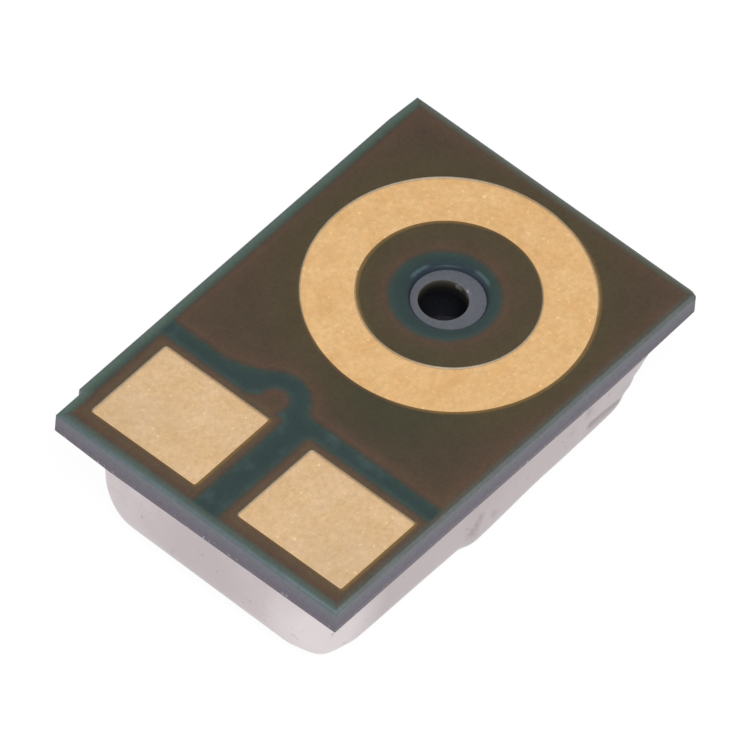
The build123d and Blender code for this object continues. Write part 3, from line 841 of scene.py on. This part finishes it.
def mask_finish():
    """Green photoimageable solder mask, sprayed and cured: a translucent film with a soft gloss.
    It looks olive over copper, reddish where it thins at the copper's edge, and teal over bare laminate."""
    finish, tree, shader, place = new_finish(
        "green_solder_mask_cured", IOR=1.52, Roughness=0.36, Specular_IOR_Level=0.22
    )
    # Tone by the depth inside the copper's edge, which wanders a little well inside it
    wander = patches(tree, place, 0.16, 4.0, 0.6, 0.3, 0.7, -0.022, 0.022)
    well_inside = marked(tree, "copper_depth", 0.02, 0.10)
    shift = add_node(tree, "Math", {0: wander, 1: well_inside}, operation="MULTIPLY").outputs[0]
    depth = add_node(tree, "Attribute", attribute_name="copper_depth").outputs["Fac"]
    moved = add_node(tree, "Math", {0: depth, 1: shift}, operation="ADD").outputs[0]
    tones = [
        (-0.060, "273a39"), (-0.030, "2a3d3b"), (-0.010, "30413c"), (0.000, "3b3f37"),
        (0.010, "4b3e32"), (0.026, "564132"), (0.060, "513f2f"), (0.100, "4c3c2d"), (0.240, "493b2b"),
    ]
    low, high = tones[0][0], tones[-1][0]
    share = add_node(tree, "MapRange", {"Value": moved, "From Min": low, "From Max": high}).outputs[0]
    film = add_node(
        tree, "ValToRGB", {"Fac": share},
        stops=[((depth_mm - low) / (high - low), tone) for depth_mm, tone in tones],
    ).outputs[0]
    # The worn slope at the board's edge, from its foot to its top: purple-grey below, and above it a
    # lighter teal-grey that is a painted highlight
    slope = add_node(
        tree, "ValToRGB", {"Fac": advance(tree, place, 2, core_face, mask_face - 0.006)},
        stops=[(0.0, "66666f"), (0.30, "676c74"), (0.42, "617074"), (0.80, "5e6d70"), (0.92, "546462")],
    ).outputs[0]
    field = nearness(tree, place, (-0.20, -0.30, mask_face), 0.50, 0.15, 0.65)
    painted_sheen_patches = patches(tree, place, 0.13, 1.5, 0.5, 0.55, 0.75, 0.0, 0.22)
    over_copper = marked(tree, "copper_depth", 0.006, 0.036)
    # From below: a tone, then its shares, in brackets a mark's name, its values for nothing and for
    # all of the tone, and the strength of all
    film = lay_tones(tree, film, [
        # Olive round the ring and on its island, darker in the field between the ring and the pads
        ("4b4029", ("ring_gap", 0.24, 0.05, 0.9), over_copper),
        ("373724", field, ("copper_depth", 0.03, 0.10)),
        # Lighter brown where the film is thin round the pads
        ("5a4936", ("gold_gap", 0.065, 0.040, 0.85), ("ring_gap", 0.08, 0.16), over_copper),
        # Pale patches over the bare laminate: a painted sheen on the draped film
        ("5d7074", painted_sheen_patches, ("port_gap", 0.15, 0.25), ("copper_depth", 0.010, -0.015)),
        # Painted highlights along the rim: green at +Y, fainter and greyer at the other sides
        ("4a5d51", ("rim_depth", 0.068, 0.038, 0.95), ("rim_out_y", 0.3, 0.7)),
        ("56675e", ("rim_depth", 0.040, 0.022, 0.90), ("rim_out_y", 0.3, 0.7)),
        ("5b5a4a", ("rim_depth", 0.056, 0.028, 0.90), ("rim_out_x", 0.3, 0.7)),
        ("515b55", ("rim_depth", 0.056, 0.028, 0.90), ("rim_out_x", -0.3, -0.7)),
        ("5c564b", ("rim_depth", 0.050, 0.022, 0.85), ("rim_out_y", -0.3, -0.7)),
        # The slope itself, with painted light and shade that differ by the side it faces at three of the
        # sides
        (slope, ("rim_depth", 0.022, 0.016)),
        ("716f6d", ("rim_depth", 0.022, 0.012, 0.6), ("rim_out_y", -0.5, -0.9)),
        ("665f57", ("rim_depth", 0.014, 0.006, 0.8), ("rim_out_y", 0.5, 0.9)),
        ("6d6f68", ("rim_depth", 0.020, 0.008, 0.8), ("rim_out_x", 0.5, 0.9)),
        # Walls of the openings over gold, painted by the way they face: painted shade at -X, a painted
        # golden reflection at -Y, a warm painted highlight at +X and a pale painted highlight at +Y
        ("6a4f30", ("gold_gap", 0.024, 0.012, 0.7), ("gold_out_x", -0.3, -0.8)),
        ("80602c", ("gold_gap", 0.028, 0.014, 0.9), ("gold_out_y", -0.2, -0.6)),
        ("b89f7c", ("gold_gap", 0.012, 0.006, 0.85), ("gold_out_x", 0.3, 0.7)),
        ("bdb19c", ("gold_gap", 0.012, 0.006, 0.85), ("gold_out_y", 0.2, 0.6)),
        # Opening round the port: painted dark blue shade on its wall, more painted shade on its far side,
        # and two painted glints on its lip
        ("1c2736", ("port_gap", 0.026, 0.010, 0.85)),
        ("22313d", ("port_gap", 0.075, 0.030, 0.5), ("port_far", 0.0, 1.0)),
        ("6d8a8e", ("port_gap", 0.044, 0.030, 0.36), ("port_gap", 0.014, 0.028), ("port_glint", 0.0, 1.0)),
    ])
    # Filler grains of a few thousandths of a millimetre, drawn at 0.018 so that they show, and
    # blotches where the spray lies thicker
    film = mottled(tree, film, patches(tree, place, 0.018, 3.0, 0.6, 0.25, 0.75, 0.86, 1.14))
    film = mottled(tree, film, patches(tree, place, 0.16, 4.0, 0.6, 0.3, 0.7, 0.90, 1.08))
    give_surface(tree, shader, place, film, 0.018, 3.0, 0.35, 0.0012)
    return finish


def gold_finish(name, tone, light):
    """Immersion gold over electroless nickel: a matte, slightly grainy plating, with bright grains that are
    painted glints.
    """
    finish, tree, shader, place = new_finish(name, Metallic=1.0, Roughness=0.42)
    # Grains of a few thousandths of a millimetre, drawn at 0.010 to 0.026 so that they show; the bright
    # ones are painted glints
    colour = lay_tones(tree, tone, [
        (light, patches(tree, place, 0.16, 6.0, 0.7, 0.3, 0.7)),
        ("f8dba6", patches(tree, place, 0.024, 0.0, 0.5, 0.72, 0.86, 0.0, 0.6)),
    ])
    colour = mottled(tree, colour, patches(tree, place, 0.026, 3.0, 0.7, 0.25, 0.75, 0.86, 1.10))
    colour = lay_tones(tree, colour, [
        # A nick at the inner edge of the ring
        ("8c6a40", nearness(tree, place, (0.3245, 0.3956, plating_face), 0.013, 0.004)),
        # Duller corners of the pads at the board's end
        ("9a9c8e", nearness(tree, place, (-1.17, 0.62, plating_face), 0.35, 0.10, 0.10)),
        ("9a9c8e", nearness(tree, place, (-1.17, -0.74, plating_face), 0.35, 0.10, 0.10)),
    ])
    give_surface(tree, shader, place, colour, 0.010, 3.0, 0.6, 0.0012)
    return finish


def laminate_finish():
    """Glass cloth in resin, sawn at its edges and drilled: a dry purple-grey with pale fibres."""
    finish, tree, shader, place = new_finish(
        "bt_resin_glass_laminate_sawn", IOR=1.55, Roughness=0.55, Specular_IOR_Level=0.3
    )
    level = advance(tree, place, 2, core_back, core_face)
    sawn = add_node(
        tree, "ValToRGB", {"Fac": level},
        stops=[(0.0, "6a626f"), (0.35, "706a76"), (0.65, "706f78"), (0.985, "70777d"), (1.0, "5c5f66")],
    ).outputs[0]
    # Cut ends of glass fibres, 0.007 thick in the cloth, drawn at 0.02 so that they show
    sawn = mottled(tree, sawn, patches(tree, place, 0.02, 4.0, 0.6, 0.25, 0.75, 0.85, 1.15))
    # The drilled wall: a dark smear of resin, with painted shade that grows darker the deeper it lies
    smear_and_shade = add_node(
        tree, "ValToRGB", {"Fac": level},
        stops=[(0.0, "15141a"), (0.45, "1f1d1b"), (0.75, "403d37"), (1.0, "66625a")],
    ).outputs[0]
    flat = add_node(tree, "VectorMath", {0: place, 1: (1.0, 1.0, 0.0)}, operation="MULTIPLY").outputs[0]
    drilled = nearness(tree, flat, (drill_x, drill_y, 0.0), port_radius + 0.002, port_radius + 0.0005)
    # Torn ends of glass at the drill's way out, pale and drawn bright as painted glints: place from its
    # axis, height and reach
    frayed = patches(tree, place, 0.018, 1.0, 0.5, 0.40, 0.58, 0.0, 0.75)
    torn_fibre_glints = [
        nearness(tree, place, (drill_x + aside, drill_y + ahead, height), reach, reach / 3)
        for aside, ahead, height, reach in ((0.126, 0.006, 0.750, 0.026), (0.120, -0.056, 0.764, 0.024))
    ]
    colour = lay_tones(tree, sawn, [(smear_and_shade, drilled)] + [("a7a5a6", near, frayed) for near in torn_fibre_glints])
    give_surface(tree, shader, place, colour, 0.02, 4.0, 0.5, 0.002)
    return finish


def grained_finish(name, tone, light, size, depth, **shader_values):
    """A finish in two close tones with a fine grain, for pieces inside and under the board. The real
    grains are finer, and are drawn as coarse as they need to show."""
    finish, tree, shader, place = new_finish(name, **shader_values)
    colour = lay_tones(tree, tone, [(light, patches(tree, place, size, 4.0, 0.6, 0.3, 0.7))])
    give_surface(tree, shader, place, colour, size, 4.0, 0.5, depth)
    return finish


def lid_finish():
    """Nickel-silver sheet after deep drawing: satin, with small rubbed spots, a painted highlight on the
    front corner and painted shade along the -Y wall."""
    finish, tree, shader, place = new_finish("nickel_silver_drawn_satin", Metallic=1.0, Roughness=0.38)
    colour = lay_tones(tree, "c6bbbd", [
        ("d0c6c8", patches(tree, place, 0.12, 4.0, 0.6, 0.3, 0.7)),
        # Painted shade along the -Y wall
        ("bcb1b2", advance(tree, place, 1, -0.72, -0.80, 0.9)),
        # Painted shade on the short wall at -X, a painted highlight on the front corner, and on the flared
        # corner a painted glint with painted shade in its fold
        ("bfb4b6", nearness(tree, place, (-1.30, 0.00, 0.30), 0.48, 0.16)),
        ("dfd6d7", nearness(tree, place, (-1.24, -0.78, 0.30), 0.42, 0.16)),
        ("cbc6cd", nearness(tree, place, (1.10, -0.80, 0.36), 0.16, 0.04)),
        ("aea7ab", nearness(tree, place, (1.02, -0.82, 0.33), 0.10, 0.02)),
        # Rubbed spots, and painted shade in the creases and along the bottom near the flared corner
        ("8f8789", patches(tree, place, 0.035, 2.0, 0.5, 0.66, 0.76, 0.0, 0.45)),
        ("857d80", add_node(tree, "Attribute", attribute_name="crease_and_shade").outputs["Fac"]),
    ])
    give_surface(tree, shader, place, colour, 0.12, 4.0, 0.5, 0.001)
    return finish


def inner_mask_finish():
    """The same mask on the lid side: green on its face, purple-grey where it is sawn with the board,
    with a few pale frayed specks there."""
    finish, tree, shader, place = new_finish("green_solder_mask_lid_side", IOR=1.52, Roughness=0.4)
    grain = add_node(
        tree, "TexNoise", {"Vector": place, "Scale": 1 / (0.08 * MM), "Detail": 4.0, "Roughness": 0.6}
    ).outputs[0]
    frayed = patches(tree, place, 0.022, 1.0, 0.5, 0.64, 0.72, 0.0, 0.8)
    edge = lay_tones(tree, "5f5864", [("a39da4", frayed)])
    sawn = advance(tree, place, 2, 0.6405, 0.6415)
    colour = lay_tones(tree, "2c4443", [("3a4e48", grain), (edge, sawn)])
    tree.links.new(colour, shader.inputs["Base Color"])
    return finish


# What each slot of the record is on the real thing
finishes = {
    "core": laminate_finish(),
    "solder_mask": mask_finish(),
    "gold_finish": gold_finish("immersion_gold_over_nickel", "dcae76", "e6bf8b"),
    "lid_metal": lid_finish(),
    # Tin-silver solder as it froze after reflow: bright and nearly smooth
    "solder": grained_finish(
        "tin_silver_solder_reflowed", "b9b9bd", "d8d8dc", 0.03, 0.003, Metallic=1.0, Roughness=0.28
    ),
    # Etched copper foil: warm and matte
    "copper": grained_finish(
        "copper_foil_etched", "b5714a", "c98560", 0.02, 0.001, Metallic=1.0, Roughness=0.45
    ),
    # Cured silicone: milky, with a soft sheen
    "soft_adhesive": grained_finish(
        "silicone_adhesive_cured", "c9c6bf", "d8d5ce", 0.05, 0.002, Roughness=0.45, IOR=1.41
    ),
    # Sawn silicon: dark blue-grey, half a mirror
    "silicon": grained_finish(
        "silicon_die_sawn", "4b4e55", "5b5e66", 0.02, 0.001, Metallic=0.6, Roughness=0.30
    ),
    # Deposited polysilicon: a smooth dark grey
    "film": grained_finish(
        "polysilicon_film_deposited", "44434a", "525058", 0.03, 0.0002, Metallic=0.7, Roughness=0.25
    ),
    # Grown oxide: glassy, with the faint blue of its thickness
    "oxide": grained_finish(
        "silicon_oxide_film_grown", "6e8fa3", "84a2b0", 0.05, 0.0002, Roughness=0.15, IOR=1.46
    ),
    # Sputtered aluminium: a pale silver with a very fine grain
    "pad_metal": grained_finish(
        "aluminium_pad_sputtered", "c4c6ca", "d9dbde", 0.01, 0.0004, Metallic=1.0, Roughness=0.35
    ),
    # Cured epoxy with its filler: a dull grey
    "die_adhesive": grained_finish(
        "epoxy_die_adhesive_cured", "8f8d86", "a3a199", 0.03, 0.001, Roughness=0.5, IOR=1.55
    ),
    # Drawn gold wire: deep yellow and shiny
    "wire_gold": grained_finish(
        "gold_bond_wire_drawn", "e0b060", "efc883", 0.02, 0.0004, Metallic=1.0, Roughness=0.25
    ),
    # Cured black epoxy: nearly black, with a soft gloss
    "black_resin": grained_finish(
        "epoxy_encapsulant_black_cured", "131315", "1d1d20", 0.05, 0.002, Roughness=0.35, IOR=1.55
    ),
}
lid_side_mask = inner_mask_finish()
for name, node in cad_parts.items():
    for slot in node.material_slots:
        slot_name = slot.material.name.split(".")[0]
        slot.material = lid_side_mask if name == "inner_solder_mask" else finishes[slot_name]


def dress(piece, finish):
    piece.data.materials.clear()
    piece.data.materials.append(finish)


dress(outer_mask(), finishes["solder_mask"])
dress(gold_ring(), finishes["gold_finish"])
pad_gold = gold_finish("immersion_gold_over_nickel_pads", "d5b182", "debe99")
dress(gold_pad("signal_pad_gold", 1, "signal_pad_plating"), pad_gold)
dress(gold_pad("supply_pad_gold", -1, "supply_pad_plating"), pad_gold)
dress(drawn_lid(), finishes["lid_metal"])
dress(solder_seam(), finishes["solder"])


# Floor, light and camera

def seen_directly(tree):
    """1 for a ray from the camera, from a glossy surface or through glass, and 0 for other light."""
    path = add_node(tree, "LightPath").outputs
    seen = path["Is Camera Ray"]
    for ray in ("Is Glossy Ray", "Is Transmission Ray"):
        seen = add_node(tree, "Math", {0: seen, 1: path[ray]}, operation="MAXIMUM").outputs[0]
    return seen


def white_floor():
    """Plain white table: it looks white and keeps a faint shadow."""
    bpy.ops.object.select_all(action="DESELECT")
    bpy.ops.mesh.primitive_plane_add(size=0.5, location=(0, 0, -0.002 * MM))
    floor = bpy.context.object
    floor.name = "white_table"
    finish = bpy.data.materials.new("matte_white_paint")
    finish.use_nodes = True
    tree = finish.node_tree
    tree.nodes.clear()
    lit = add_node(tree, "BsdfDiffuse", {"Color": "e8e8e8"}).outputs[0]
    bright = add_node(tree, "Emission", {"Color": "ffffff", "Strength": 1.12}).outputs[0]
    seen = add_node(tree, "MixShader", {0: 0.8, 1: lit, 2: bright}).outputs[0]
    plain = add_node(tree, "MixShader", {0: seen_directly(tree), 1: lit, 2: seen}).outputs[0]
    # Clear from below, so that the underside of the part can be looked at
    behind = add_node(tree, "NewGeometry").outputs["Backfacing"]
    clear = add_node(tree, "BsdfTransparent").outputs[0]
    shown = add_node(tree, "MixShader", {0: behind, 1: plain, 2: clear}).outputs[0]
    add_node(tree, "OutputMaterial", {"Surface": shown})
    floor.data.materials.append(finish)


def studio_world(light):
    """White surroundings: strength 1 where they are seen, and a plain level as light."""
    world = bpy.data.worlds.new("white_studio")
    bpy.context.scene.world = world
    world.use_nodes = True
    tree = world.node_tree
    tree.nodes.clear()
    lighting = add_node(tree, "Background", {"Color": "ffffff", "Strength": light}).outputs[0]
    seen = add_node(tree, "Background", {"Color": "ffffff", "Strength": 1.0}).outputs[0]
    mixed = add_node(tree, "MixShader", {0: seen_directly(tree), 1: lighting, 2: seen}).outputs[0]
    add_node(tree, "OutputWorld", {"Surface": mixed})


def direction(azimuth, elevation):
    """Towards a viewer at an azimuth, 0 looking along +Y, and an elevation, in degrees."""
    a, e = radians(azimuth), radians(elevation)
    return Vector((sin(a) * cos(e), -cos(a) * cos(e), sin(e)))


def softbox(name, azimuth, elevation, size, radiance, distance=12.0):
    """A square lamp that faces the part, its strength given as the brightness of its face."""
    lamp = bpy.data.lights.new(name, "AREA")
    lamp.shape = "SQUARE"
    lamp.size = size * MM
    lamp.energy = radiance * pi * (size * MM) ** 2
    towards = direction(azimuth, elevation)
    holder = bpy.data.objects.new(name, lamp)
    holder.location = Vector((0, 0, 0.5 * MM)) + towards * distance * MM
    holder.rotation_euler = towards.to_track_quat("Z", "Y").to_euler()
    bpy.context.scene.collection.objects.link(holder)


def photo_camera():
    """Long lens from the photograph's side of the part."""
    azimuth, elevation, roll = -53.2455, 51.4962, radians(5.0521)
    aim, distance = Vector((-0.11712, -0.09136, mask_face)), 154.27
    lens = bpy.data.cameras.new("photo_camera")
    lens.lens = 1500
    lens.clip_start = 0.01
    lens.clip_end = 10
    back = direction(azimuth, elevation)
    level = Vector((-back.y, back.x, 0)).normalized()
    upright = back.cross(level)
    right = level * cos(roll) + upright * sin(roll)
    up = back.cross(right)
    holder = bpy.data.objects.new("photo_camera", lens)
    place = aim * MM + back * distance * MM
    holder.matrix_world = Matrix.Translation(place) @ Matrix((right, up, back)).transposed().to_4x4()
    bpy.context.scene.collection.objects.link(holder)
    bpy.context.scene.camera = holder


white_floor()
studio_world(light=0.55)
softbox("key_softbox", azimuth=-40, elevation=58, size=6.0, radiance=5.0)
softbox("left_softbox", azimuth=-120, elevation=35, size=5.0, radiance=1.5)
photo_camera()
bpy.context.scene.view_settings.view_transform = "Standard"
